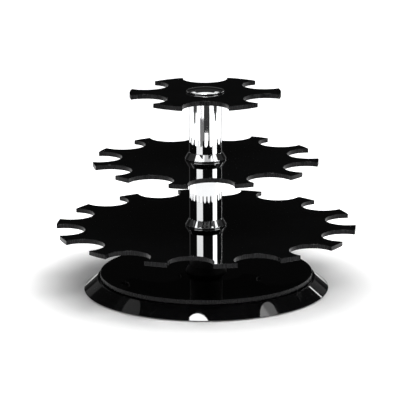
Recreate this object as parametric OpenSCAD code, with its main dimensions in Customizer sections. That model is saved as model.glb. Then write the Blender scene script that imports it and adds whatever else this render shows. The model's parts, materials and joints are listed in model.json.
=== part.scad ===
// Three-tier rotating stand.
// Three flat plates, each with a ring of notches, are clamped on a tube column by one
// tie rod, and the whole column turns on a ring ball bearing in a low conical base.
// Millimetres, +Z up, origin on the floor at the turning axis, front towards -Y.

/* [Tiers] */
// Diameter across the arm tips of the top tier
top_tier_d = 100; // [92:1:115]
// Diameter across the arm tips of the middle tier
middle_tier_d = 150; // [142:1:165]
// Diameter across the arm tips of the low tier
low_tier_d = 200; // [192:1:220]
// Thickness of a tier plate
tier_t = 3; // [2:0.5:5]
// Notches round the top tier
top_notches = 6; // [4:1:7]
// Notches round the middle tier
middle_notches = 11; // [8:1:12]
// Notches round the low tier
low_notches = 14; // [10:1:16]
// Diameter of a notch
notch_d = 30; // [26:0.5:31]
// How far a notch's centre lies inside the tip circle
notch_inset = 4.2; // [2:0.1:6]
// Turn of the top tier's first arm from +X, in degrees
top_turn = 0; // [-30:0.5:30]
// Turn of the middle tier's first arm from +X, in degrees
middle_turn = -5.5; // [-16:0.5:16]
// Turn of the low tier's first arm from +X, in degrees
low_turn = -6; // [-12:0.5:12]

/* [Column] */
// Outside diameter of the column tubes
tube_d = 22; // [20:0.5:26]
// Wall of the column tubes
tube_wall = 1; // [0.8:0.1:2]
// Length of the tube between the turntable disc and the low tier
lower_tube_h = 29; // [26:1:60]
// Length of the tube between the low and the middle tier
middle_tube_h = 42.2; // [36:0.2:70]
// Length of the tube between the middle and the top tier
upper_tube_h = 42.2; // [36:0.2:70]
// How far a collar's foot stands out from the tube
collar_flare = 2.75; // [1.5:0.05:6]
// Height of a collar
collar_h = 4.9; // [3:0.1:8]
// Thickness of a collar's thin upper edge
collar_lip = 0.4; // [0.3:0.05:0.8]
// Height of the upright edge at a collar's foot
collar_edge_h = 0.9; // [0.3:0.1:1.5]
// Depth of the plug in each end of a tube
plug_h = 10; // [7:0.5:12]
// Diameter of the tie rod
rod_d = 6; // [5:0.5:8]
// Bevel at the tie rod's ends
rod_bevel = 0.6; // [0.3:0.1:1]

/* [Cap] */
// Diameter of the top cap
cap_d = 25; // [20:0.5:30]
// Height of the cap's upright side
cap_side_h = 1; // [0.6:0.1:5]
// Rise of the cap's dome above its side
cap_dome_h = 1.8; // [1:0.1:4]
// Diameter of the threaded boss under the cap
boss_d = 10; // [9.5:0.5:13]
// Length of the boss below the top of the top tier
boss_l = 10; // [7:0.5:12]
// Solid metal left above the cap's threaded hole
cap_roof = 1; // [0.8:0.1:1.6]

/* [Turntable disc] */
// How far the disc's rim stands inside the skirt's upper edge
disc_step = 2; // [0:0.5:4]
// Thickness of the turntable disc
disc_t = 3; // [2.5:0.5:5]
// Air between the disc and the skirt's upper edge
disc_air = 0.4; // [0.3:0.1:1.5]

/* [Base] */
// Diameter of the skirt at its lower edge
skirt_d = 164; // [158:1:180]
// Diameter of the skirt at its upper edge
skirt_top_d = 146; // [143:0.5:148]
// Height of the skirt
skirt_h = 7.4; // [6.8:0.1:12]
// Wall of the skirt, measured level
skirt_wall = 3; // [2.5:0.1:4]
// How far the step inside the skirt laps over the base plate's rim
plate_lap = 1.2; // [0.8:0.1:2]
// Thickness of the base plate
base_plate_t = 2; // [1.5:0.1:2.6]
// How far the base plate sits above the skirt's lower edge
base_plate_rise = 0.2; // [0.1:0.1:0.4]
// How far the feet stand below the skirt
foot_proud = 0.8; // [0.5:0.1:2]
// Diameter of a rubber foot
foot_d = 12; // [8:1:16]
// Depth of a foot's seat in the base plate
foot_seat = 0.6; // [0.3:0.1:0.8]
// Number of rubber feet
foot_count = 4; // [3:1:6]
// Room between a foot and the base plate's rim
foot_margin = 4; // [2:0.5:6]
// Diameter of the hole for reaching the inner race's screws
access_d = 8; // [7:0.5:9]

/* [Bearing] */
// Diameter of a bearing ball
ball_d = 3; // [2.4:0.1:3.4]
// Number of bearing balls
ball_count = 24; // [12:1:36]
// Room between the skirt's upper edge and the outer race
race_room = 8; // [4:0.5:20]
// Gap between the inner and the outer race
race_split = 1; // [0.8:0.1:1.4]
// Width of a race, measured level
race_w = 9.5; // [8:0.5:12]
// Air between each race and the plate that it turns against
race_air = 0.8; // [0.5:0.1:1.2]
// Thickness of the ball cage
cage_t = 0.5; // [0.4:0.05:0.6]
// Height of the cage left above and below each window
cage_edge = 0.5; // [0.3:0.1:0.9]

/* [Fasteners] */
// Diameter of a race screw
screw_d = 2.5; // [2:0.1:2.8]
// Diameter of a race screw's countersunk head
screw_head_d = 4.6; // [4.2:0.1:5.4]
// Height of a race screw's countersunk head
screw_head_h = 1.2; // [1:0.1:1.4]
// Depth of a screw's hold in the piece that it is driven into
screw_bite = 2; // [1.2:0.1:2.2]
// Screws in each race
screw_count = 4; // [3:1:6]
// Width of the driver slot in a screw's head
slot_w = 0.6; // [0.4:0.1:0.8]
// Depth of the driver slot in a screw's head
slot_depth = 0.5; // [0.3:0.1:0.6]
// Width of the rod nut across its flats
nut_af = 10; // [9.5:0.5:13]
// Diameter of the rod washer
washer_d = 18; // [14:0.5:24]
// Thickness of the rod washer
washer_t = 1.2; // [0.8:0.1:1.8]
// Length of rod that shows below the nut
rod_tail = 0.4; // [0.2:0.1:0.8]
// Room between the rod's lower end and the base plate
rod_room = 0.8; // [0.4:0.1:1.2]

/* [Fits] */
// Radial room round the rod, the boss and the screws
fit_gap = 0.1; // [0.05:0.05:0.2]
// Radial room of a thread, a glued joint and a plug
glue_gap = 0.05; // [0.02:0.01:0.08]
// Room between a ball and its groove, and round it in its window
ball_gap = 0.1; // [0.05:0.01:0.15]

/* [Hidden] */
$fn = 128;

// Overrun of every cut past the face that it opens
cut = 0.5;

// Levels, from the floor up
skirt_z = foot_proud;
skirt_top_z = skirt_z + skirt_h;
plate_z = skirt_z + base_plate_rise;
plate_top_z = plate_z + base_plate_t;
disc_z = skirt_top_z + disc_air;
disc_top_z = disc_z + disc_t;
disc_r = skirt_top_d / 2 - disc_step;
low_tier_z = disc_top_z + lower_tube_h;
low_tier_top_z = low_tier_z + tier_t;
middle_tier_z = low_tier_top_z + middle_tube_h;
middle_tier_top_z = middle_tier_z + tier_t;
top_tier_z = middle_tier_top_z + upper_tube_h;
top_tier_top_z = top_tier_z + tier_t;

// Skirt: its wall is measured level, and the plate's rim sits under a step in it
skirt_slope = (skirt_d - skirt_top_d) / 2 / skirt_h;
skirt_step_r = skirt_d / 2 - skirt_slope * (plate_top_z - skirt_z) - skirt_wall;
plate_seat_r = skirt_step_r + plate_lap;
base_plate_r = plate_seat_r - glue_gap;
foot_circle_r = base_plate_r - foot_margin - foot_d / 2;

// Bearing: the outer race stands on the base plate, the inner race hangs from the disc
race_h = disc_z - plate_top_z - race_air;
ball_z = (disc_z + plate_top_z) / 2;
ball_circle_r = skirt_top_d / 2 - skirt_wall - race_room - race_w - race_split / 2;
groove_r = ball_d / 2 + ball_gap;
cage_h = 2 * (groove_r + cage_edge);
outer_race_in_r = ball_circle_r + race_split / 2;
inner_race_out_r = ball_circle_r - race_split / 2;
outer_screw_r = outer_race_in_r + race_w / 2;
inner_screw_r = inner_race_out_r - race_w / 2;

// Column
tube_r = tube_d / 2;
tube_in_r = tube_r - tube_wall;
rod_hole_r = rod_d / 2 + fit_gap;
thread_r = rod_d / 2 + glue_gap;
boss_hole_r = boss_d / 2 + fit_gap;
cap_h = cap_side_h + cap_dome_h;
cap_hole_top_z = top_tier_top_z + cap_h - cap_roof;
collar_r = tube_r + glue_gap + collar_flare;

// Rod's lower end: what the washer, the tail and the room leave is the nut's height
rod_z = plate_top_z + rod_room;
nut_z = rod_z + rod_tail;
nut_h = disc_z - washer_t - nut_z;

// Round plate with a ring of notches that leave flared arms between them
module tier_plate(tip_d, notches, turn, hole_r) {
    rotate([0, 0, turn])
        linear_extrude(tier_t)
            difference() {
                circle(d = tip_d);
                for (i = [0 : notches - 1])
                    rotate([0, 0, (i + 1 / 2) * 360 / notches])
                        translate([tip_d / 2 - notch_inset, 0])
                            circle(d = notch_d);
                circle(r = hole_r);
            }
}

// Thin-walled column tube, standing on z = 0
module column_tube(length) {
    difference() {
        cylinder(r = tube_r, h = length);
        translate([0, 0, -cut])
            cylinder(r = tube_in_r, h = length + 2 * cut);
    }
}

// Plug that centres a tube's end on the rod
module tube_plug(hole_r) {
    difference() {
        cylinder(r = tube_in_r - glue_gap, h = plug_h);
        translate([0, 0, -cut])
            cylinder(r = hole_r, h = plug_h + 2 * cut);
    }
}

// Conical collar round a tube's foot
module collar() {
    rotate_extrude()
        polygon([
            [tube_r + glue_gap, 0],
            [collar_r, 0],
            [collar_r, collar_edge_h],
            [tube_r + glue_gap + collar_lip, collar_h],
            [tube_r + glue_gap, collar_h]
        ]);
}

// Countersunk slotted screw, head down with its face on z = 0, shank up
module race_screw(length) {
    difference() {
        union() {
            cylinder(d1 = screw_head_d, d2 = screw_d, h = screw_head_h);
            cylinder(d = screw_d, h = length);
        }
        translate([-screw_head_d, -slot_w / 2, -cut])
            cube([2 * screw_head_d, slot_w, slot_depth + cut]);
    }
}

// Hole for a race screw: clearance through depth, then the hold in the piece beyond
module screw_hole(depth) {
    head_r = screw_head_d / 2 + fit_gap;
    hole_r = screw_d / 2 + fit_gap;
    translate([0, 0, -cut])
        cylinder(r = hole_r, h = depth + 2 * cut);
    cylinder(r1 = head_r, r2 = hole_r, h = screw_head_h);
    translate([0, 0, -cut])
        cylinder(r = head_r, h = cut);
}

// Copies its child at each screw's place on a circle
module at_screws(circle_r) {
    for (i = [0 : screw_count - 1])
        rotate([0, 0, (i + 1 / 2) * 360 / screw_count])
            translate([circle_r, 0, 0])
                children();
}

// Copies its child at each foot's place
module at_feet() {
    for (i = [0 : foot_count - 1])
        rotate([0, 0, i * 360 / foot_count])
            translate([foot_circle_r, 0, 0])
                children();
}

// Copies its child at each ball's place
module at_balls() {
    for (i = [0 : ball_count - 1])
        rotate([0, 0, i * 360 / ball_count])
            translate([ball_circle_r, 0, ball_z])
                children();
}

// Ring of rectangular section with the ball groove cut in one face
module race(in_r, bottom_z) {
    rotate_extrude()
        difference() {
            translate([in_r, bottom_z])
                square([race_w, race_h]);
            translate([ball_circle_r, ball_z])
                circle(r = groove_r);
        }
}

// Low conical ring with a step inside for the base plate
module base_skirt() {
    color([0.02, 0.02, 0.025])
        rotate_extrude()
            polygon([
                [skirt_d / 2, skirt_z],
                [skirt_top_d / 2, skirt_top_z],
                [skirt_top_d / 2 - skirt_wall, skirt_top_z],
                [skirt_step_r, plate_top_z],
                [plate_seat_r, plate_top_z],
                [plate_seat_r, skirt_z]
            ]);
}

// Flat floor of the base, with seats for the feet and the screws' holes
module base_plate() {
    color([0.03, 0.03, 0.03])
        difference() {
            translate([0, 0, plate_z])
                cylinder(r = base_plate_r, h = base_plate_t);
            at_feet()
                translate([0, 0, plate_z - cut])
                    cylinder(r = foot_d / 2 + glue_gap, h = foot_seat + cut);
            at_screws(outer_screw_r)
                translate([0, 0, plate_z])
                    screw_hole(base_plate_t);
            rotate([0, 0, 360 / foot_count / 2])
                translate([inner_screw_r, 0, plate_z - cut])
                    cylinder(d = access_d, h = base_plate_t + 2 * cut);
        }
}

// Round rubber pads under the base plate
module rubber_feet() {
    color([0.08, 0.08, 0.08])
        at_feet()
            cylinder(d = foot_d, h = plate_z + foot_seat);
}

// Fixed ring of the bearing
module outer_race() {
    color([0.72, 0.73, 0.75])
        difference() {
            race(outer_race_in_r, plate_top_z);
            at_screws(outer_screw_r)
                translate([0, 0, plate_top_z - cut])
                    cylinder(r = screw_d / 2 + glue_gap, h = screw_bite + fit_gap + cut);
        }
}

// Screws that hold the outer race down on the base plate
module outer_race_screws() {
    color([0.6, 0.6, 0.62])
        at_screws(outer_screw_r)
            translate([0, 0, plate_z])
                race_screw(base_plate_t + screw_bite);
}

// Thin ring that keeps the balls apart
module ball_cage() {
    color([0.9, 0.9, 0.86])
        difference() {
            translate([0, 0, ball_z - cage_h / 2])
                difference() {
                    cylinder(r = ball_circle_r + cage_t / 2, h = cage_h);
                    translate([0, 0, -cut])
                        cylinder(r = ball_circle_r - cage_t / 2, h = cage_h + 2 * cut);
                }
            at_balls()
                rotate([0, 90, 0])
                    cylinder(r = groove_r, h = 2 * cage_t, center = true);
        }
}

// Steel balls, one in each window of the cage
module bearing_balls() {
    color([0.8, 0.8, 0.82])
        at_balls()
            sphere(d = ball_d);
}

// Turning ring of the bearing
module inner_race() {
    color([0.72, 0.73, 0.75])
        difference() {
            race(inner_race_out_r - race_w, disc_z - race_h);
            at_screws(inner_screw_r)
                translate([0, 0, disc_z - race_h])
                    screw_hole(race_h);
        }
}

// Screws that hold the inner race up against the disc
module inner_race_screws() {
    color([0.6, 0.6, 0.62])
        at_screws(inner_screw_r)
            translate([0, 0, disc_z - race_h])
                race_screw(race_h + screw_bite);
}

// Flat disc that carries the column and turns over the skirt
module turntable_disc() {
    color([0.02, 0.02, 0.025])
        difference() {
            translate([0, 0, disc_z])
                cylinder(r = disc_r, h = disc_t);
            translate([0, 0, disc_z - cut])
                cylinder(r = rod_hole_r, h = disc_t + 2 * cut);
            at_screws(inner_screw_r)
                translate([0, 0, disc_z - cut])
                    cylinder(r = screw_d / 2 + glue_gap, h = screw_bite + fit_gap + cut);
        }
}

// Washer between the disc and the rod nut
module rod_washer() {
    color([0.65, 0.66, 0.68])
        translate([0, 0, disc_z - washer_t])
            difference() {
                cylinder(d = washer_d, h = washer_t);
                translate([0, 0, -cut])
                    cylinder(r = rod_hole_r, h = washer_t + 2 * cut);
            }
}

// Thin hexagon nut on the rod's lower end
module rod_nut() {
    color([0.65, 0.66, 0.68])
        translate([0, 0, nut_z])
            difference() {
                cylinder(d = nut_af / cos(30), h = nut_h, $fn = 6);
                translate([0, 0, -cut])
                    cylinder(r = thread_r, h = nut_h + 2 * cut);
            }
}

// Rod that clamps disc, tubes, tiers and cap together
module tie_rod() {
    rod_top_z = cap_hole_top_z - fit_gap;
    color([0.6, 0.61, 0.63])
        rotate_extrude()
            polygon([
                [0, rod_z],
                [rod_d / 2 - rod_bevel, rod_z],
                [rod_d / 2, rod_z + rod_bevel],
                [rod_d / 2, rod_top_z - rod_bevel],
                [rod_d / 2 - rod_bevel, rod_top_z],
                [0, rod_top_z]
            ]);
}

// Black column section between the disc and the low tier
module lower_tube() {
    color([0.03, 0.03, 0.03])
        translate([0, 0, disc_top_z])
            column_tube(lower_tube_h);
}

module lower_tube_foot_plug() {
    color([0.12, 0.12, 0.12])
        translate([0, 0, disc_top_z])
            tube_plug(rod_hole_r);
}

module lower_tube_top_plug() {
    color([0.12, 0.12, 0.12])
        translate([0, 0, low_tier_z - plug_h])
            tube_plug(rod_hole_r);
}

module lower_collar() {
    color([0.03, 0.03, 0.03])
        translate([0, 0, disc_top_z])
            collar();
}

module low_tier() {
    color([0.02, 0.02, 0.025])
        translate([0, 0, low_tier_z])
            tier_plate(low_tier_d, low_notches, low_turn, rod_hole_r);
}

// Column section between the low and the middle tier
module middle_tube() {
    color([0.85, 0.86, 0.88])
        translate([0, 0, low_tier_top_z])
            column_tube(middle_tube_h);
}

module middle_tube_foot_plug() {
    color([0.12, 0.12, 0.12])
        translate([0, 0, low_tier_top_z])
            tube_plug(rod_hole_r);
}

module middle_tube_top_plug() {
    color([0.12, 0.12, 0.12])
        translate([0, 0, middle_tier_z - plug_h])
            tube_plug(rod_hole_r);
}

module middle_collar() {
    color([0.85, 0.86, 0.88])
        translate([0, 0, low_tier_top_z])
            collar();
}

module middle_tier() {
    color([0.02, 0.02, 0.025])
        translate([0, 0, middle_tier_z])
            tier_plate(middle_tier_d, middle_notches, middle_turn, rod_hole_r);
}

// Column section between the middle and the top tier
module upper_tube() {
    color([0.85, 0.86, 0.88])
        translate([0, 0, middle_tier_top_z])
            column_tube(upper_tube_h);
}

module upper_tube_foot_plug() {
    color([0.12, 0.12, 0.12])
        translate([0, 0, middle_tier_top_z])
            tube_plug(rod_hole_r);
}

// This plug takes the cap's boss, so its hole is wider
module upper_tube_top_plug() {
    color([0.12, 0.12, 0.12])
        translate([0, 0, top_tier_z - plug_h])
            tube_plug(boss_hole_r);
}

module upper_collar() {
    color([0.85, 0.86, 0.88])
        translate([0, 0, middle_tier_top_z])
            collar();
}

module top_tier() {
    color([0.02, 0.02, 0.025])
        translate([0, 0, top_tier_z])
            tier_plate(top_tier_d, top_notches, top_turn, boss_hole_r);
}

// Low domed cap nut with a threaded boss
module top_cap() {
    dome_r = (pow(cap_d / 2, 2) + pow(cap_dome_h, 2)) / (2 * cap_dome_h);
    color([0.85, 0.86, 0.88])
        difference() {
            translate([0, 0, top_tier_top_z]) {
                intersection() {
                    cylinder(d = cap_d, h = cap_h);
                    translate([0, 0, cap_h - dome_r])
                        sphere(r = dome_r);
                }
                translate([0, 0, -boss_l])
                    cylinder(d = boss_d, h = boss_l + cap_side_h / 2);
            }
            translate([0, 0, top_tier_top_z - boss_l - cut])
                cylinder(r = thread_r, h = cap_hole_top_z - top_tier_top_z + boss_l + cut);
        }
}

base_skirt();
base_plate();
rubber_feet();
outer_race();
outer_race_screws();
ball_cage();
bearing_balls();
inner_race();
inner_race_screws();
turntable_disc();
rod_washer();
rod_nut();
tie_rod();
lower_tube();
lower_tube_foot_plug();
lower_tube_top_plug();
lower_collar();
low_tier();
middle_tube();
middle_tube_foot_plug();
middle_tube_top_plug();
middle_collar();
middle_tier();
upper_tube();
upper_tube_foot_plug();
upper_tube_top_plug();
upper_collar();
top_tier();
top_cap();
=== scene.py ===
"""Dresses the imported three-tier stand: finished plates, turned metal parts and a studio."""
import json
import math

import bpy
from bpy.props import FloatProperty, FloatVectorProperty, IntProperty, PointerProperty
from mathutils import Matrix, Vector

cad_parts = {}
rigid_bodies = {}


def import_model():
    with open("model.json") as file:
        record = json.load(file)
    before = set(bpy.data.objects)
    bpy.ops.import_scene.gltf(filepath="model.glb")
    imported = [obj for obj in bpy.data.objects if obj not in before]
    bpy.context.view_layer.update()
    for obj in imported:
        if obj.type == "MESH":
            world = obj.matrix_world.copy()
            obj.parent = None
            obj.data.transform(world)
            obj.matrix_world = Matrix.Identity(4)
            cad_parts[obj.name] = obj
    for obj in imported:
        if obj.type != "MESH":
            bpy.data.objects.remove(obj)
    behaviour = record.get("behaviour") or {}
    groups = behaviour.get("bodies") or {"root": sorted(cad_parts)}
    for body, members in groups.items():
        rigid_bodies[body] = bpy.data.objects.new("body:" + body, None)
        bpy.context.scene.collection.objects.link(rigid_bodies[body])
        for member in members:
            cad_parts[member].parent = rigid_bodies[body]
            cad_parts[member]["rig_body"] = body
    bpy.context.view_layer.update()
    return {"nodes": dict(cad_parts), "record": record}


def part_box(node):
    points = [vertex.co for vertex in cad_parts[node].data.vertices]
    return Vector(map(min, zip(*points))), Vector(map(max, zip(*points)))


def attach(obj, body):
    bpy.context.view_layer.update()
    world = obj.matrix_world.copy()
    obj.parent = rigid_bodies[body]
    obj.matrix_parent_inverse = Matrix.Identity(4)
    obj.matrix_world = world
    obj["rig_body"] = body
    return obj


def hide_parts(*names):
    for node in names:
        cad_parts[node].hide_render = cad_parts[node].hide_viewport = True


bl_info = {
    "name": "Coffee capsule stand",
    "version": (1, 0, 0),
    "blender": (4, 5, 0),
    "location": "View3D > Sidebar > Capsule stand",
    "description": "Models and finishes a three-tier turning stand around its frame",
    "category": "Object",
}

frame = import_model()

MM = 0.001
UP = Vector((0, 0, 1))
TIERS = ("low_tier", "middle_tier", "top_tier")
TUBES = ("lower_tube", "middle_tube", "upper_tube")
COLLARS = ("lower_collar", "middle_collar", "upper_collar")
PLUGS = tuple(f"{tube}_{end}_plug" for tube in TUBES for end in ("foot", "top"))
SCREWS = ("outer_race_screws", "inner_race_screws")

# Vertices closer than this are one
MERGE = 0.001 * MM
# A cut runs past the plate by this many thicknesses
OVERRUN = 3
# Boolean cuts leave short rim edges: those under this length are merged before bevelling
SHORT_EDGE = 0.15 * MM
# A face is part of a plate's edge where its normal leans this little from level
EDGE_LEAN = 0.7
# Points of a frame mesh within this distance of the rim stand on it
ON_RIM = 0.01 * MM
# An edge that turns by more than this is rounded, in so many segments
ROUND_ANGLE = math.radians(25)
ROUND_SEGMENTS = 3
# The smooth shading ends at edges that turn by more than this
SHARP_ANGLE = math.radians(40)
# How strongly large faces rule the shading of the roundings beside them
FACE_WEIGHT = 100
# The dish under a foot ends, and its standing ring starts, at these shares of the foot's radius
FOOT_DISH_SHARE = 1 / 3
FOOT_RING_SHARE = 1 / 2


class StandSizes(bpy.types.PropertyGroup):
    """Sizes of the finish that the frame doesn't hold."""

    plate_bevel: FloatProperty(
        name="Plate edge", description="Bevel on the edges of the acrylic plates",
        default=0.2 * MM, min=0, unit="LENGTH")
    skirt_bevel: FloatProperty(
        name="Skirt edge", description="Rounding of the skirt's edges",
        default=0.3 * MM, min=0, unit="LENGTH")
    metal_bevel: FloatProperty(
        name="Metal edge", description="Rounding of the edges of tubes, collars and cap",
        default=0.12 * MM, min=0, unit="LENGTH")
    foot_bevel: FloatProperty(
        name="Foot edge", description="Rounding of the rubber feet",
        default=0.3 * MM, min=0, unit="LENGTH")
    cap_bevel: FloatProperty(
        name="Cap edge", description="Rounding of the cap's edges",
        default=0.3 * MM, min=0, unit="LENGTH")
    foot_dish: FloatProperty(
        name="Foot dish", description="Depth of the hollow under a rubber foot",
        default=0.3 * MM, min=0, unit="LENGTH")
    dome_steps: IntProperty(
        name="Dome steps", description="Steps from the middle of the cap's dome to its rim",
        default=24, min=4)
    rim_steps: IntProperty(
        name="Rim steps", description="Sides of a plate's rim and of the skirt",
        default=256, min=32)
    column_steps: IntProperty(
        name="Column steps", description="Sides of a tube, a collar and the cap",
        default=128, min=24)
    foot_steps: IntProperty(
        name="Foot steps", description="Sides of a rubber foot", default=64, min=12)
    notch_steps: IntProperty(
        name="Notch steps", description="Sides of the full circle of a notch",
        default=128, min=24)


class StandColours(bpy.types.PropertyGroup):
    """Colours of the finishes."""

    acrylic: FloatVectorProperty(
        name="Acrylic", description="Polished black sheet", subtype="COLOR", size=3,
        default=(0.0012, 0.0013, 0.0014), min=0, max=1)
    acrylic_edge: FloatVectorProperty(
        name="Acrylic edge", description="Cut edge of the black sheet", subtype="COLOR", size=3,
        default=(0.004, 0.004, 0.0045), min=0, max=1)
    skirt: FloatVectorProperty(
        name="Skirt", description="Glossy moulded plastic of the base", subtype="COLOR", size=3,
        default=(0.0014, 0.0014, 0.0016), min=0, max=1)
    chrome: FloatVectorProperty(
        name="Chrome", description="Bright chrome plate", subtype="COLOR", size=3,
        default=(0.86, 0.87, 0.88), min=0, max=1)
    satin_black: FloatVectorProperty(
        name="Satin black", description="Black of the lowest tube and its collar",
        subtype="COLOR", size=3, default=(0.0016, 0.0016, 0.0018), min=0, max=1)
    base_plate: FloatVectorProperty(
        name="Base plate", description="Matt moulded plastic", subtype="COLOR", size=3,
        default=(0.030, 0.030, 0.031), min=0, max=1)
    rubber: FloatVectorProperty(
        name="Rubber", description="Soft rubber of the feet", subtype="COLOR", size=3,
        default=(0.045, 0.045, 0.046), min=0, max=1)
    plug: FloatVectorProperty(
        name="Plug", description="Turned plastic of the tube plugs", subtype="COLOR", size=3,
        default=(0.09, 0.09, 0.092), min=0, max=1)
    aluminium: FloatVectorProperty(
        name="Aluminium", description="Turned bearing rings", subtype="COLOR", size=3,
        default=(0.78, 0.79, 0.80), min=0, max=1)
    zinc: FloatVectorProperty(
        name="Zinc", description="Zinc-plated steel of rod, nut, washer and screws",
        subtype="COLOR", size=3, default=(0.62, 0.64, 0.66), min=0, max=1)
    nylon: FloatVectorProperty(
        name="Nylon", description="Natural nylon of the ball cage", subtype="COLOR", size=3,
        default=(0.82, 0.80, 0.73), min=0, max=1)


class StudioSettings(bpy.types.PropertyGroup):
    """Camera, lamps and surroundings."""

    camera_distance: FloatProperty(
        name="Distance", description="From the camera to the plane through the middle tier",
        default=1.70675, min=0.1, unit="LENGTH")
    camera_tilt: FloatProperty(
        name="Tilt", description="How far the camera looks down",
        default=math.radians(13.94), subtype="ANGLE")
    camera_roll: FloatProperty(
        name="Roll", description="Turn of the camera about its view",
        default=math.radians(-0.32), subtype="ANGLE")
    camera_lens: FloatProperty(
        name="Lens", description="Focal length on a 36 mm sensor", default=231.5, min=1)
    aim_right: FloatProperty(
        name="Aim right", description="Pixels from the picture's middle to the column, rightwards",
        default=5.61)
    aim_up: FloatProperty(
        name="Aim up", description="Pixels from the picture's middle to the middle tier, upwards",
        default=41.47)
    overhead_light: FloatProperty(
        name="Overhead box", description="Brightness of the large box over the stand",
        default=1.3, min=0)
    side_light: FloatProperty(
        name="Side lamp", description="Brightness of the round lamp high in front on the right",
        default=5.0, min=0)
    front_light: FloatProperty(
        name="Front box", description="Brightness of the box high in front",
        default=1.6, min=0)
    fill_light: FloatProperty(
        name="Fill", description="Brightness of the room on matt surfaces", default=0.15, min=0)
    floor_glow: FloatProperty(
        name="Floor white", description="White added to the floor near the stand, as it is seen",
        default=0.08, min=0)
    glow_start: FloatProperty(
        name="White start", description="Distance from the column where the added white grows",
        default=0.09, min=0, unit="LENGTH")
    glow_full: FloatProperty(
        name="White full", description="Distance from the column where the floor is all white",
        default=0.17, min=0, unit="LENGTH")


def reach(node, above=-1.0, below=1.0):
    """The largest distance from the axis of a node's points between two heights."""
    points = (v.co for v in frame["nodes"][node].data.vertices)
    return max(math.hypot(p.x, p.y) for p in points if above <= p.z <= below)


def bore(node, above=-1.0, below=1.0):
    """The smallest distance from the axis of a node's points between two heights."""
    points = (v.co for v in frame["nodes"][node].data.vertices)
    return min(math.hypot(p.x, p.y) for p in points if above <= p.z <= below)


def heights(node):
    """The lowest and the highest level of a node."""
    low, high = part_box(node)
    return low.z, high.z


def shoulder(node):
    """The highest level at which a node still has its full reach."""
    rim = reach(node)
    points = (v.co for v in frame["nodes"][node].data.vertices)
    return max(p.z for p in points if rim - math.hypot(p.x, p.y) < ON_RIM)


def notch_places(tier):
    """Centre and radius of each notch of a tier, from the record's openings and the solid."""
    points = [v.co for v in frame["nodes"][tier].data.vertices]
    places = []
    for opening in frame["record"]["physics"]["openings"]:
        if not opening["name"].startswith(tier + "_notch"):
            continue
        low, high = (Vector(corner) for corner in opening["box_m"])
        x, y = ((low + high) / 2).xy
        places.append((x, y, min(math.hypot(p.x - x, p.y - y) for p in points)))
    return places


def only(piece):
    """Selects one object alone and makes it the active one."""
    bpy.ops.object.select_all(action="DESELECT")
    piece.select_set(True)
    bpy.context.view_layer.objects.active = piece
    return piece


def start(name):
    """Names the object that was just added and puts its place into its mesh."""
    piece = only(bpy.context.object)
    piece.name = name
    piece.data.name = name
    bpy.ops.object.transform_apply(location=True, rotation=True, scale=True)
    return piece


def finish_with(piece, kind, **settings):
    """Adds one modifier with its settings and applies it."""
    only(piece)
    modifier = piece.modifiers.new(kind.title(), kind)
    for key, value in settings.items():
        setattr(modifier, key, value)
    bpy.ops.object.modifier_apply(modifier=modifier.name)


def cylinder(name, x, y, radius, low, high, sides):
    """An upright cylinder between two levels."""
    bpy.ops.object.select_all(action="DESELECT")
    bpy.ops.mesh.primitive_cylinder_add(
        vertices=sides, radius=radius, depth=high - low, location=(x, y, (low + high) / 2))
    return start(name)


def join(pieces):
    """Makes one object of several."""
    bpy.ops.object.select_all(action="DESELECT")
    for piece in pieces:
        piece.select_set(True)
    bpy.context.view_layer.objects.active = pieces[0]
    bpy.ops.object.join()
    return pieces[0]


def merge_close(piece, distance):
    """Merges the vertices of a piece that lie closer than a distance."""
    only(piece)
    bpy.ops.object.mode_set(mode="EDIT")
    bpy.ops.mesh.select_all(action="SELECT")
    bpy.ops.mesh.remove_doubles(threshold=distance)
    bpy.ops.object.mode_set(mode="OBJECT")


def cut_away(piece, cutters):
    """Takes the cutters out of a piece and deletes them."""
    cutter = join(cutters)
    finish_with(piece, "BOOLEAN", operation="DIFFERENCE", solver="EXACT", object=cutter)
    bpy.data.objects.remove(cutter)
    merge_close(piece, SHORT_EDGE)


def round_edges(piece, width):
    """Rounds every edge that turns by more than an angle, and shades the piece smooth."""
    finish_with(
        piece, "BEVEL", width=width, segments=ROUND_SEGMENTS, limit_method="ANGLE",
        angle_limit=ROUND_ANGLE, use_clamp_overlap=False)
    bpy.ops.object.shade_smooth_by_angle(angle=SHARP_ANGLE)
    finish_with(piece, "WEIGHTED_NORMAL", keep_sharp=True, weight=FACE_WEIGHT)


def spin_outline(name, outline, steps, closed=True, sweep=2 * math.pi, turn=0.0):
    """Draws (radius, height) points edge by edge and spins them about the axis, from a turn on."""
    radius, height = outline[0]
    bpy.ops.object.select_all(action="DESELECT")
    bpy.ops.mesh.primitive_plane_add(size=MM, location=(radius, 0, height))
    piece = start(name)
    bpy.ops.object.mode_set(mode="EDIT")
    bpy.ops.mesh.select_mode(type="VERT")
    bpy.ops.mesh.select_all(action="SELECT")
    bpy.ops.mesh.merge(type="CENTER")
    stops = outline[1:] + outline[:1] if closed else outline[1:]
    for next_radius, next_height in stops:
        step = (next_radius - radius, 0, next_height - height)
        bpy.ops.mesh.extrude_region_move(TRANSFORM_OT_translate={"value": step})
        radius, height = next_radius, next_height
    bpy.ops.mesh.select_all(action="SELECT")
    bpy.ops.mesh.remove_doubles(threshold=MERGE)
    bpy.ops.mesh.spin(steps=steps, angle=-sweep, center=(0, 0, 0), axis=UP)
    bpy.ops.mesh.select_all(action="SELECT")
    bpy.ops.mesh.remove_doubles(threshold=MERGE)
    bpy.ops.mesh.normals_make_consistent(inside=False)
    bpy.ops.object.mode_set(mode="OBJECT")
    piece.matrix_world = Matrix.Rotation(turn, 4, "Z")
    only(piece)
    bpy.ops.object.transform_apply(location=True, rotation=True, scale=True)
    return piece


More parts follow.
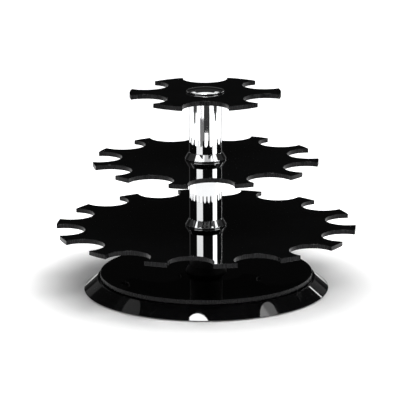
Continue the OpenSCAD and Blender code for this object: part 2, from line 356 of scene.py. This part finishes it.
def stand_for(piece, node, slot, *finishes):
    """Lets a finished piece take a node's place, body and finish; its slot is not used."""
    piece.data.materials.clear()
    for finish in finishes:
        piece.data.materials.append(finish)
    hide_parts(node)
    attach(piece, frame["nodes"][node]["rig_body"])


def dress(nodes, finish):
    """Gives frame nodes that stay as they are their finish."""
    for node in nodes:
        for material_slot in frame["nodes"][node].material_slots:
            material_slot.material = finish


class Finish:
    """One procedural material: a principled shader and the patterns that feed it."""

    def __init__(self, name, color, roughness, metallic=0.0, ior=1.5):
        self.material = bpy.data.materials.new(name)
        self.material.use_nodes = True
        self.nodes = self.material.node_tree.nodes
        self.links = self.material.node_tree.links
        self.shader = self.nodes["Principled BSDF"]
        self.shader.inputs["Base Color"].default_value = (*color, 1)
        self.shader.inputs["Roughness"].default_value = roughness
        self.shader.inputs["Metallic"].default_value = metallic
        self.shader.inputs["IOR"].default_value = ior
        self.place = self.nodes.new("ShaderNodeTexCoord").outputs["Object"]
        self.bumps = None

    def stretched(self, scale):
        """The place, stretched by a factor along each axis."""
        mapping = self.nodes.new("ShaderNodeMapping")
        mapping.inputs["Scale"].default_value = scale
        self.links.new(self.place, mapping.inputs["Vector"])
        return mapping.outputs["Vector"]

    def noise(self, per_metre, detail, stretch=None):
        """Noise with so many blots to the metre."""
        node = self.nodes.new("ShaderNodeTexNoise")
        node.inputs["Scale"].default_value = per_metre
        node.inputs["Detail"].default_value = detail
        self.links.new(self.stretched(stretch) if stretch else self.place, node.inputs["Vector"])
        return node.outputs["Fac"]

    def rings(self, per_metre, distortion=0.4, detail=2.0):
        """Round waves about the upright axis."""
        node = self.nodes.new("ShaderNodeTexWave")
        node.wave_type = "RINGS"
        node.rings_direction = "Z"
        node.inputs["Scale"].default_value = per_metre
        node.inputs["Distortion"].default_value = distortion
        node.inputs["Detail"].default_value = detail
        self.links.new(self.place, node.inputs["Vector"])
        return node.outputs["Fac"]

    def spread(self, pattern, low, high, start=0.35, end=0.65):
        """Turns a pattern's middle stretch into numbers from low to high."""
        node = self.nodes.new("ShaderNodeMapRange")
        for key, value in (("From Min", start), ("From Max", end), ("To Min", low), ("To Max", high)):
            node.inputs[key].default_value = value
        self.links.new(pattern, node.inputs["Value"])
        return node.outputs["Result"]

    def roughen(self, pattern, low, high, **span):
        """Lets a pattern drive the roughness between two values."""
        self.links.new(self.spread(pattern, low, high, **span), self.shader.inputs["Roughness"])

    def tint(self, pattern, first, second):
        """Lets a pattern mix two colours."""
        node = self.nodes.new("ShaderNodeMix")
        node.data_type = "RGBA"
        node.inputs["A"].default_value = (*first, 1)
        node.inputs["B"].default_value = (*second, 1)
        self.links.new(self.spread(pattern, 0, 1), node.inputs["Factor"])
        self.links.new(node.outputs["Result"], self.shader.inputs["Base Color"])

    def bump(self, pattern, height):
        """Raises the surface by a pattern, on top of the bumps so far."""
        node = self.nodes.new("ShaderNodeBump")
        node.inputs["Strength"].default_value = 1
        node.inputs["Distance"].default_value = height
        self.links.new(pattern, node.inputs["Height"])
        if self.bumps:
            self.links.new(self.bumps, node.inputs["Normal"])
        self.bumps = node.outputs["Normal"]
        self.links.new(self.bumps, self.shader.inputs["Normal"])


def shade(color, factor):
    """A colour made darker or lighter by a factor."""
    return tuple(min(1.0, part * factor) for part in color)


def polished_acrylic(colours):
    """Face of the black sheet: nearly a mirror, with faint waves and wipe marks."""
    finish = Finish("polished_black_acrylic", colours.acrylic, roughness=0.02, ior=1.49)
    wipes = finish.noise(per_metre=140, detail=4, stretch=(1, 5, 1))
    finish.roughen(wipes, low=0.01, high=0.03)
    finish.tint(finish.noise(per_metre=60, detail=3), colours.acrylic, shade(colours.acrylic, 1.5))
    finish.bump(finish.noise(per_metre=22, detail=0), height=0.01 * MM)
    finish.bump(finish.noise(per_metre=2600, detail=3, stretch=(1, 0.04, 1)), height=0.0004 * MM)
    return finish.material


def cut_edge(colours):
    """Sawn and flame-polished edge of the sheet, with upright marks."""
    finish = Finish("cut_acrylic_edge", colours.acrylic_edge, roughness=0.24, ior=1.49)
    finish.shader.inputs["Specular IOR Level"].default_value = 0.18
    marks = finish.noise(per_metre=900, detail=3, stretch=(1, 1, 0.01))
    finish.roughen(marks, low=0.18, high=0.34)
    finish.tint(marks, colours.acrylic_edge, shade(colours.acrylic_edge, 1.8))
    finish.bump(marks, height=0.02 * MM)
    return finish.material


def glossy_moulding(colours):
    """High-gloss moulded plastic of the skirt, with a trace of orange peel."""
    finish = Finish("glossy_black_moulding", colours.skirt, roughness=0.04)
    finish.roughen(finish.noise(per_metre=180, detail=3), low=0.025, high=0.06)
    finish.tint(finish.noise(per_metre=50, detail=2), colours.skirt, shade(colours.skirt, 1.4))
    finish.bump(finish.noise(per_metre=420, detail=1), height=0.002 * MM)
    return finish.material


def chrome_plate(colours):
    """Bright chrome over drawn tube, with faint lines along its length."""
    finish = Finish("bright_chrome", colours.chrome, roughness=0.03, metallic=1.0)
    lines = finish.noise(per_metre=700, detail=3, stretch=(1, 1, 0.03))
    finish.roughen(finish.noise(per_metre=220, detail=4), low=0.015, high=0.045)
    finish.tint(finish.noise(per_metre=90, detail=2), colours.chrome, shade(colours.chrome, 0.95))
    finish.bump(lines, height=0.0015 * MM)
    return finish.material


def lowest_column_black(colours):
    """Near-black, barely glossy finish that keeps the lowest tube and its collar dark, with a fine even
    grain.
    """
    finish = Finish("black_satin_lowest_column", colours.satin_black, roughness=0.5)
    finish.shader.inputs["Specular IOR Level"].default_value = 0.15
    grain = finish.noise(per_metre=2600, detail=3)
    finish.roughen(grain, low=0.42, high=0.58)
    patches = finish.noise(per_metre=180, detail=3)
    finish.tint(patches, colours.satin_black, shade(colours.satin_black, 1.4))
    finish.bump(grain, height=0.004 * MM)
    return finish.material


def matt_moulding(colours):
    """Spark-eroded grain of the base plate."""
    finish = Finish("matt_black_moulding", colours.base_plate, roughness=0.55)
    grain = finish.noise(per_metre=3800, detail=3)
    finish.roughen(grain, low=0.45, high=0.68)
    patches = finish.noise(per_metre=120, detail=3)
    finish.tint(patches, colours.base_plate, shade(colours.base_plate, 1.35))
    finish.bump(grain, height=0.05 * MM)
    return finish.material


def soft_rubber(colours):
    """Dull rubber with a fine grain and dusty patches."""
    finish = Finish("soft_black_rubber", colours.rubber, roughness=0.8)
    grain = finish.noise(per_metre=5200, detail=4)
    finish.roughen(grain, low=0.7, high=0.92)
    finish.tint(finish.noise(per_metre=700, detail=3), colours.rubber, shade(colours.rubber, 1.8))
    finish.bump(grain, height=0.04 * MM)
    return finish.material


def turned_plastic(colours):
    """Plugs turned from bar, with fine tool rings."""
    finish = Finish("turned_black_plastic", colours.plug, roughness=0.42)
    rings = finish.rings(per_metre=1200)
    finish.roughen(rings, low=0.34, high=0.5, start=0, end=1)
    finish.tint(finish.noise(per_metre=300, detail=3), colours.plug, shade(colours.plug, 1.25))
    finish.bump(rings, height=0.006 * MM)
    return finish.material


def turned_aluminium(colours):
    """Bearing rings with the lathe's rings on their faces."""
    finish = Finish("turned_aluminium", colours.aluminium, roughness=0.28, metallic=1.0)
    rings = finish.rings(per_metre=1600)
    finish.roughen(rings, low=0.2, high=0.36, start=0, end=1)
    finish.tint(finish.noise(per_metre=260, detail=3), colours.aluminium, shade(colours.aluminium, 0.88))
    finish.bump(rings, height=0.004 * MM)
    return finish.material


def zinc_steel(colours):
    """Zinc plate with its slightly cloudy spangle."""
    finish = Finish("zinc_plated_steel", colours.zinc, roughness=0.3, metallic=1.0)
    clouds = finish.noise(per_metre=900, detail=4)
    finish.roughen(clouds, low=0.2, high=0.42)
    finish.tint(clouds, colours.zinc, shade(colours.zinc, 0.8))
    finish.bump(finish.noise(per_metre=5000, detail=2), height=0.003 * MM)
    return finish.material


def polished_steel(colours):
    """Ground and polished bearing balls."""
    bright = shade(colours.zinc, 1.2)
    finish = Finish("polished_ball_steel", bright, roughness=0.08, metallic=1.0)
    finish.roughen(finish.noise(per_metre=1500, detail=3), low=0.05, high=0.14)
    finish.tint(finish.noise(per_metre=900, detail=2), bright, shade(colours.zinc, 1.05))
    return finish.material


def natural_nylon(colours):
    """Slightly milky nylon of the ball cage."""
    finish = Finish("natural_nylon", colours.nylon, roughness=0.45)
    finish.shader.inputs["Subsurface Weight"].default_value = 0.25
    finish.shader.inputs["Subsurface Radius"].default_value = (0.5 * MM, 0.45 * MM, 0.35 * MM)
    finish.roughen(finish.noise(per_metre=1800, detail=3), low=0.38, high=0.55)
    finish.tint(finish.noise(per_metre=400, detail=3), colours.nylon, shade(colours.nylon, 0.92))
    finish.bump(finish.noise(per_metre=3000, detail=2), height=0.01 * MM)
    return finish.material


def flat_plate(name, node, places, sizes):
    """A round plate with its holes cut through and all its edges bevelled."""
    low, high = heights(node)
    past = (high - low) * OVERRUN
    plate = cylinder(name, 0, 0, reach(node), low, high, sizes.rim_steps)
    cutters = [
        cylinder("cutter", x, y, radius, low - past, high + past, sizes.notch_steps)
        for x, y, radius in places + [(0, 0, bore(node))]]
    cut_away(plate, cutters)
    round_edges(plate, sizes.plate_bevel)
    return plate


def mark_edges(plate):
    """Gives the upright faces of a plate its second finish."""
    for face in plate.data.polygons:
        face.material_index = int(abs(face.normal.z) < EDGE_LEAN)


class CAPSULESTAND_OT_tiers(bpy.types.Operator):
    """Cuts the three notched acrylic tiers"""

    bl_idname = "capsulestand.tiers"
    bl_label = "Tiers"

    def execute(self, context):
        scene = context.scene
        faces, edges = polished_acrylic(scene.stand_colours), cut_edge(scene.stand_colours)
        for tier in TIERS:
            plate = flat_plate(f"{tier}_plate", tier, notch_places(tier), scene.stand_sizes)
            stand_for(plate, tier, "gloss_black_acrylic", faces, edges)
            mark_edges(plate)
        return {"FINISHED"}


class CAPSULESTAND_OT_turntable(bpy.types.Operator):
    """Cuts the plain acrylic disc that carries the column"""

    bl_idname = "capsulestand.turntable"
    bl_label = "Turntable disc"

    def execute(self, context):
        scene = context.scene
        disc = flat_plate("turntable_plate", "turntable_disc", [], scene.stand_sizes)
        faces = bpy.data.materials["polished_black_acrylic"]
        edges = bpy.data.materials["cut_acrylic_edge"]
        stand_for(disc, "turntable_disc", "gloss_black_acrylic", faces, edges)
        mark_edges(disc)
        return {"FINISHED"}


class CAPSULESTAND_OT_skirt(bpy.types.Operator):
    """Turns the conical skirt with its rounded edges and the step for the base plate"""

    bl_idname = "capsulestand.skirt"
    bl_label = "Skirt"

    def execute(self, context):
        scene = context.scene
        sizes = scene.stand_sizes
        low, high = heights("base_skirt")
        step = heights("base_plate")[1]
        outline = [
            (reach("base_skirt"), low),
            (reach("base_skirt", above=high - MERGE), high),
            (bore("base_skirt"), high),
            (bore("base_skirt", above=step - MERGE, below=step + MERGE), step),
            (bore("base_skirt", below=low + MERGE), step),
            (bore("base_skirt", below=low + MERGE), low),
        ]
        skirt = spin_outline("skirt_ring", outline, sizes.rim_steps)
        round_edges(skirt, sizes.skirt_bevel)
        finish = glossy_moulding(scene.stand_colours)
        stand_for(skirt, "base_skirt", "gloss_black_acrylic", finish)
        return {"FINISHED"}


class CAPSULESTAND_OT_feet(bpy.types.Operator):
    """Turns one dished rubber foot and copies it to each place"""

    bl_idname = "capsulestand.feet"
    bl_label = "Rubber feet"

    def execute(self, context):
        scene = context.scene
        sizes = scene.stand_sizes
        low, high = heights("rubber_feet")
        outer, inner = reach("rubber_feet"), bore("rubber_feet")
        radius = (outer - inner) / 2
        outline = [
            (0, low + sizes.foot_dish), (radius * FOOT_DISH_SHARE, low + sizes.foot_dish),
            (radius * FOOT_RING_SHARE, low), (radius, low), (radius, high), (0, high)]
        foot = spin_outline("rubber_pads", outline, sizes.foot_steps)
        round_edges(foot, sizes.foot_bevel)
        circle = outer - radius
        feet = []
        for x, y in ((circle, 0), (0, circle), (-circle, 0), (0, -circle)):
            copy = foot.copy()
            copy.data = foot.data.copy()
            copy.data.transform(Matrix.Translation((x, y, 0)))
            scene.collection.objects.link(copy)
            feet.append(copy)
        bpy.data.objects.remove(foot)
        pads = join(feet)
        pads.name = "rubber_pads"
        stand_for(pads, "rubber_feet", "foot_rubber", soft_rubber(scene.stand_colours))
        return {"FINISHED"}


class CAPSULESTAND_OT_column(bpy.types.Operator):
    """Turns the tubes and their collars: chrome over the low tier, black under it"""

    bl_idname = "capsulestand.column"
    bl_label = "Column"

    def execute(self, context):
        scene = context.scene
        sizes = scene.stand_sizes
        bright = chrome_plate(scene.stand_colours)
        dark = lowest_column_black(scene.stand_colours)
        finishes = {node: ("satin_black", dark) if node.startswith("lower") else ("chrome", bright)
                    for node in TUBES + COLLARS}
        for node in TUBES:
            low, high = heights(node)
            outline = [(bore(node), low), (reach(node), low), (reach(node), high), (bore(node), high)]
            tube = spin_outline(f"{node}_sleeve", outline, sizes.column_steps)
            round_edges(tube, sizes.metal_bevel)
            stand_for(tube, node, *finishes[node])
        for node in COLLARS:
            low, high = heights(node)
            foot, lip = reach(node), reach(node, above=high - MERGE)
            outline = [
                (bore(node), low), (foot, low), (foot, shoulder(node)), (lip, high),
                (bore(node), high)]
            collar = spin_outline(f"{node}_cone", outline, sizes.column_steps)
            round_edges(collar, sizes.metal_bevel)
            stand_for(collar, node, *finishes[node])
        return {"FINISHED"}


class CAPSULESTAND_OT_cap(bpy.types.Operator):
    """Turns the low domed cap nut with its threaded boss"""

    bl_idname = "capsulestand.cap"
    bl_label = "Top cap"

    def execute(self, context):
        sizes = context.scene.stand_sizes
        low, high = heights("top_cap")
        seat = heights("top_tier")[1]
        rim, boss = reach("top_cap"), reach("top_cap", below=seat - MERGE)
        thread = bore("top_cap", below=seat - MERGE)
        hole_top = heights("tie_rod")[1] + thread - reach("tie_rod")
        side = shoulder("top_cap")
        rise = high - side
        dome = (rim ** 2 + rise ** 2) / (2 * rise)
        arc = [
            (radius, high - dome + math.sqrt(dome ** 2 - radius ** 2))
            for radius in (rim * step / sizes.dome_steps for step in range(sizes.dome_steps, -1, -1))]
        outline = (
            [(thread, low), (boss, low), (boss, seat), (rim, seat)] + arc
            + [(0, hole_top), (thread, hole_top)])
        cap = spin_outline("column_cap", outline, sizes.column_steps)
        round_edges(cap, sizes.cap_bevel)
        stand_for(cap, "top_cap", "chrome", bpy.data.materials["bright_chrome"])
        return {"FINISHED"}


class CAPSULESTAND_OT_inner_parts(bpy.types.Operator):
    """Finishes the parts that keep their frame shape: floor plate, bearing, rod and plugs"""

    bl_idname = "capsulestand.inner_parts"
    bl_label = "Inner parts"

    def execute(self, context):
        colours = context.scene.stand_colours
        dress(["base_plate"], matt_moulding(colours))
        dress(["outer_race", "inner_race"], turned_aluminium(colours))
        dress([*SCREWS, "tie_rod", "rod_nut", "rod_washer"], zinc_steel(colours))
        dress(["bearing_balls"], polished_steel(colours))
        dress(["ball_cage"], natural_nylon(colours))
        dress(PLUGS, turned_plastic(colours))
        return {"FINISHED"}


# What a gloss sees round the stand. Azimuths count from the front towards +X, in degrees.
# Flags on the floor, darker than it but for the near one: name, azimuths, nearest and farthest
# distance from the column, brightness
FLAGS = (
    ("front_flag", -11, 29, 0.50, 2.6, 0.045),
    ("front_flag_left_edge", -11, -6, 0.43, 0.50, 0.045),
    ("front_flag_right_edge", 19, 29, 0.40, 0.50, 0.045),
    ("front_left_flag", -38, -11, 0.42, 0.56, 0.22),
    ("front_left_line", -33, -27, 0.56, 2.6, 0.25),
    ("left_flag", -90, -60, 0.58, 2.6, 0.07),
    ("left_flag_tip", -86, -72, 0.535, 0.58, 0.10),
    ("right_flag", 58, 86, 0.58, 2.6, 0.05),
    ("right_flag_tip", 66, 80, 0.545, 0.58, 0.08),
    ("near_front_flag", -75, 75, 0.17, 0.36, 1.15),
    ("back_flag", 150, 210, 0.105, 0.35, 0.02),
    ("far_back_flag", 150, 210, 0.35, 7.9, 0.03),
)
# Boxes on a dome round the stand: name, azimuths, elevations, brightness. The low strip on the
# right starts at 50, because the plates would mirror one at 45 to a view from behind.
BOXES = (
    ("front_left_strip", -66, -21, 12, 16, 3.5),
    ("front_left_box", -72, -11, 33, 45, 1.5),
    ("front_left_box_top", -56, -9, 45, 60, 1.5),
    ("left_line_box", -87, -79, 40, 60, 1.5),
    ("left_grey_box", -79, -56, 45, 60, 0.1),
    ("front_right_strip", 50, 83, 12, 16, 6.0),
    ("front_right_box", 46, 80, 33, 42, 1.5),
    ("right_line_box", 40, 50, 42, 60, 1.5),
    ("right_grey_box", 50, 84, 42, 60, 0.12),
    ("front_top_box", -11, 46, 38, 45, 1.2),
    ("front_grey_box", -9, 40, 45, 52, 0.55),
    ("high_front_box", -9, 40, 52, 72, 1.2),
    ("right_back_box", 88, 103, 53, 68, 4.2),
    ("right_back_box_end", 103, 113, 53, 68, 2.0),
    ("right_strip_top", 142.2, 143.3, 24, 40, 6.0),
    ("right_strip_foot", 143.5, 144.6, 8, 24, 6.0),
    ("right_haze", 146, 168, 7, 27, 0.14),
    ("left_haze", 192, 214, 7, 27, 0.14),
    ("left_back_box", -124, -106, 44, 58, 0.4),
    ("back_top_box", 160, 200, 38, 64, 1.3),
    ("back_right_tip", 167, 172, 30, 38, 1.0),
    ("back_left_tip", 188, 193, 30, 38, 1.0),
    ("zenith_lamp", -110, 60, 79, 90, 24.0),
)
# Grey of the room beyond them at the sine of each elevation
ROOM = (
    (-1.0, 0.3), (0.0, 0.10), (0.10, 0.03), (0.18, 0.008), (0.29, 0.008), (0.34, 0.025),
    (1.0, 0.03),
)
# The dome's radius and the height of its middle
DOME_RADIUS = 3.0
DOME_CENTRE = 0.1
# Flags lie this far over the floor
FLAG_LIFT = 0.5 * MM
# Degrees of a turn or an arc that one face of a card spans
CARD_STEP = 4
# Degrees about the upright axis from +X to the front
FRONT_TURN = -90
# Lamps for the matt light: name, place, size, shape and the setting for the brightness
LAMPS = (
    ("overhead_box", (0.05, -0.30, 1.10), 1.2, "SQUARE", "overhead_light"),
    ("side_lamp", (0.28, -0.40, 0.85), 0.6, "DISK", "side_light"),
    ("front_box", (0.0, -0.75, 0.85), 0.6, "SQUARE", "front_light"),
)
# The lamps face this height on the column
LAMP_TARGET = 0.06
# The floor's side in metres and its grey
FLOOR_SIDE = 16
FLOOR_GREY = 0.86
# The camera's sensor in millimetres and the picture's side in pixels
SENSOR_WIDTH = 36
PICTURE_SIDE = 400


def place_camera(studio):
    """Sets the camera from its distance, tilt, roll and where the column stands in the picture."""
    focal = studio.camera_lens / SENSOR_WIDTH * PICTURE_SIDE
    tilt = studio.camera_tilt
    right, up = Vector((1, 0, 0)), Vector((0, math.sin(tilt), math.cos(tilt)))
    forward = Vector((0, math.cos(tilt), -math.sin(tilt)))
    roll = studio.camera_roll
    across = math.cos(roll) * studio.aim_right - math.sin(roll) * studio.aim_up
    along = math.sin(roll) * studio.aim_right + math.cos(roll) * studio.aim_up
    scale = studio.camera_distance / focal
    aim = UP * heights("middle_tier")[1]
    place = aim - right * across * scale - up * along * scale - forward * studio.camera_distance
    data = bpy.data.cameras.new("photo_camera")
    data.lens = studio.camera_lens
    data.sensor_width = SENSOR_WIDTH
    camera = bpy.data.objects.new("photo_camera", data)
    bpy.context.scene.collection.objects.link(camera)
    camera.matrix_world = (
        Matrix.Translation(place) @ Matrix.Rotation(math.pi / 2 - tilt, 4, "X")
        @ Matrix.Rotation(roll, 4, "Z"))
    bpy.context.scene.camera = camera


def area_lamp(name, place, size, shape, brightness):
    """A soft lamp of a given brightness that faces the stand and stays out of the picture."""
    data = bpy.data.lights.new(name, "AREA")
    data.shape = shape
    data.size = size
    area = size ** 2 * (math.pi / 4 if shape == "DISK" else 1)
    data.energy = brightness * math.pi * area
    lamp = bpy.data.objects.new(name, data)
    bpy.context.scene.collection.objects.link(lamp)
    lamp.location = place
    away = Vector(place) - UP * LAMP_TARGET
    lamp.rotation_euler = away.to_track_quat("Z", "Y").to_euler()
    lamp.visible_camera = False
    lamp.visible_glossy = False


def gloss_card(name, outline, start_at, end_at, brightness):
    """A card that sweeps an outline between two azimuths, with an even light for a gloss alone."""
    steps = max(1, round((end_at - start_at) / CARD_STEP))
    card = spin_outline(
        name, outline, steps, closed=False, sweep=math.radians(end_at - start_at),
        turn=math.radians(start_at + FRONT_TURN))
    card.data.materials.append(card_finish(name, brightness))
    card.visible_camera = card.visible_diffuse = card.visible_shadow = False
    card.visible_transmission = card.visible_volume_scatter = False


def dome_arc(low, high):
    """The outline of a card on the dome between two elevations."""
    steps = max(1, round((high - low) / CARD_STEP))
    turns = (math.radians(low + (high - low) * step / steps) for step in range(steps + 1))
    return [
        (DOME_RADIUS * math.cos(turn), DOME_CENTRE + DOME_RADIUS * math.sin(turn))
        for turn in turns]


def seen_directly(nodes, links):
    """A number that is 1 where the camera, a gloss or a clear surface looks, and 0 for light."""
    path = nodes.new("ShaderNodeLightPath")
    total = path.outputs["Is Camera Ray"]
    for ray in ("Is Glossy Ray", "Is Transmission Ray"):
        higher = nodes.new("ShaderNodeMath")
        higher.operation = "MAXIMUM"
        links.new(total, higher.inputs[0])
        links.new(path.outputs[ray], higher.inputs[1])
        total = higher.outputs[0]
    return total


def floor_finish(studio):
    """Pale floor that keeps the shadow near the stand and turns white farther out."""
    material = bpy.data.materials.new("pale_floor")
    material.use_nodes = True
    nodes, links = material.node_tree.nodes, material.node_tree.links
    shader = nodes["Principled BSDF"]
    shader.inputs["Base Color"].default_value = (FLOOR_GREY, FLOOR_GREY, FLOOR_GREY, 1)
    shader.inputs["Roughness"].default_value = 1
    shader.inputs["Specular IOR Level"].default_value = 0
    shader.inputs["Emission Color"].default_value = (1, 1, 1, 1)
    place = nodes.new("ShaderNodeTexCoord")
    distance = nodes.new("ShaderNodeVectorMath")
    distance.operation = "LENGTH"
    links.new(place.outputs["Object"], distance.inputs[0])
    growth = nodes.new("ShaderNodeMapRange")
    growth.interpolation_type = "SMOOTHSTEP"
    growth.inputs["From Min"].default_value = studio.glow_start
    growth.inputs["From Max"].default_value = studio.glow_full
    growth.inputs["To Min"].default_value = studio.floor_glow
    growth.inputs["To Max"].default_value = 1
    links.new(distance.outputs["Value"], growth.inputs["Value"])
    glow = nodes.new("ShaderNodeMath")
    glow.operation = "MULTIPLY"
    links.new(growth.outputs["Result"], glow.inputs[0])
    links.new(seen_directly(nodes, links), glow.inputs[1])
    links.new(glow.outputs[0], shader.inputs["Emission Strength"])
    return material


def card_finish(name, brightness):
    """An even light with no gloss of its own."""
    material = bpy.data.materials.new(name)
    material.use_nodes = True
    shader = material.node_tree.nodes["Principled BSDF"]
    shader.inputs["Base Color"].default_value = (0, 0, 0, 1)
    shader.inputs["Specular IOR Level"].default_value = 0
    shader.inputs["Emission Color"].default_value = (1, 1, 1, 1)
    shader.inputs["Emission Strength"].default_value = brightness
    return material


def surroundings(studio):
    """White to the camera, soft fill to matt surfaces and a dark room to a gloss."""
    world = bpy.data.worlds.new("studio_room")
    bpy.context.scene.world = world
    world.use_nodes = True
    nodes, links = world.node_tree.nodes, world.node_tree.links
    nodes.clear()
    place = nodes.new("ShaderNodeTexCoord")
    parts = nodes.new("ShaderNodeSeparateXYZ")
    links.new(place.outputs["Generated"], parts.inputs[0])
    height = nodes.new("ShaderNodeMapRange")
    height.inputs["From Min"].default_value = -1
    height.inputs["From Max"].default_value = 1
    links.new(parts.outputs["Z"], height.inputs["Value"])
    ramp = nodes.new("ShaderNodeValToRGB")
    ramp.color_ramp.interpolation = "EASE"
    stops = ramp.color_ramp.elements
    while len(stops) < len(ROOM):
        stops.new(0.5)
    for stop, (sine, grey) in zip(stops, ROOM):
        stop.position = (sine + 1) / 2
        stop.color = (grey, grey, grey, 1)
    links.new(height.outputs["Result"], ramp.inputs["Fac"])
    path = nodes.new("ShaderNodeLightPath")
    gloss_room = nodes.new("ShaderNodeBackground")
    links.new(ramp.outputs["Color"], gloss_room.inputs["Color"])
    fill = nodes.new("ShaderNodeBackground")
    fill.inputs["Strength"].default_value = studio.fill_light
    white = nodes.new("ShaderNodeBackground")
    white.inputs["Color"].default_value = (1, 1, 1, 1)
    by_gloss = nodes.new("ShaderNodeMixShader")
    by_camera = nodes.new("ShaderNodeMixShader")
    output = nodes.new("ShaderNodeOutputWorld")
    links.new(path.outputs["Is Glossy Ray"], by_gloss.inputs["Fac"])
    links.new(fill.outputs[0], by_gloss.inputs[1])
    links.new(gloss_room.outputs[0], by_gloss.inputs[2])
    links.new(path.outputs["Is Camera Ray"], by_camera.inputs["Fac"])
    links.new(by_gloss.outputs[0], by_camera.inputs[1])
    links.new(white.outputs[0], by_camera.inputs[2])
    links.new(by_camera.outputs[0], output.inputs["Surface"])


class CAPSULESTAND_OT_studio(bpy.types.Operator):
    """Sets up the camera, the pale floor, the lamps and the room"""

    bl_idname = "capsulestand.studio"
    bl_label = "Studio"

    def execute(self, context):
        studio = context.scene.stand_studio
        context.scene.view_settings.view_transform = "Standard"
        bpy.ops.object.select_all(action="DESELECT")
        bpy.ops.mesh.primitive_plane_add(size=FLOOR_SIDE)
        floor = start("floor")
        floor.data.materials.append(floor_finish(studio))
        for name, start_at, end_at, near, far, brightness in FLAGS:
            strip = [(near, FLAG_LIFT), (far, FLAG_LIFT)]
            gloss_card(name, strip, start_at, end_at, brightness)
        for name, start_at, end_at, low, high, brightness in BOXES:
            gloss_card(name, dome_arc(low, high), start_at, end_at, brightness)
        for name, lamp_place, size, shape, setting in LAMPS:
            area_lamp(name, lamp_place, size, shape, getattr(studio, setting))
        surroundings(studio)
        place_camera(studio)
        return {"FINISHED"}


STAGES = (
    CAPSULESTAND_OT_tiers, CAPSULESTAND_OT_turntable, CAPSULESTAND_OT_skirt, CAPSULESTAND_OT_feet,
    CAPSULESTAND_OT_column, CAPSULESTAND_OT_cap, CAPSULESTAND_OT_inner_parts,
    CAPSULESTAND_OT_studio)


class CAPSULESTAND_PT_panel(bpy.types.Panel):
    """Lists the stages and their settings"""

    bl_idname = "CAPSULESTAND_PT_panel"
    bl_label = "Capsule stand"
    bl_space_type = "VIEW_3D"
    bl_region_type = "UI"
    bl_category = "Capsule stand"

    def draw(self, context):
        for stage in STAGES:
            self.layout.operator(stage.bl_idname)
        for group in (context.scene.stand_sizes, context.scene.stand_colours,
                      context.scene.stand_studio):
            box = self.layout.box()
            for key in group.__annotations__:
                box.prop(group, key)


CLASSES = (StandSizes, StandColours, StudioSettings, *STAGES, CAPSULESTAND_PT_panel)


def register():
    """Registers the classes and puts their settings on the scene."""
    for kind in CLASSES:
        bpy.utils.register_class(kind)
    bpy.types.Scene.stand_sizes = PointerProperty(type=StandSizes)
    bpy.types.Scene.stand_colours = PointerProperty(type=StandColours)
    bpy.types.Scene.stand_studio = PointerProperty(type=StudioSettings)


def unregister():
    """Takes the settings and the classes away again."""
    del bpy.types.Scene.stand_studio
    del bpy.types.Scene.stand_colours
    del bpy.types.Scene.stand_sizes
    for kind in reversed(CLASSES):
        bpy.utils.unregister_class(kind)


def main():
    """Builds every piece and the studio."""
    register()
    for stage in STAGES:
        family, name = stage.bl_idname.split(".")
        getattr(getattr(bpy.ops, family), name)()


if __name__ == "__main__":
    main()
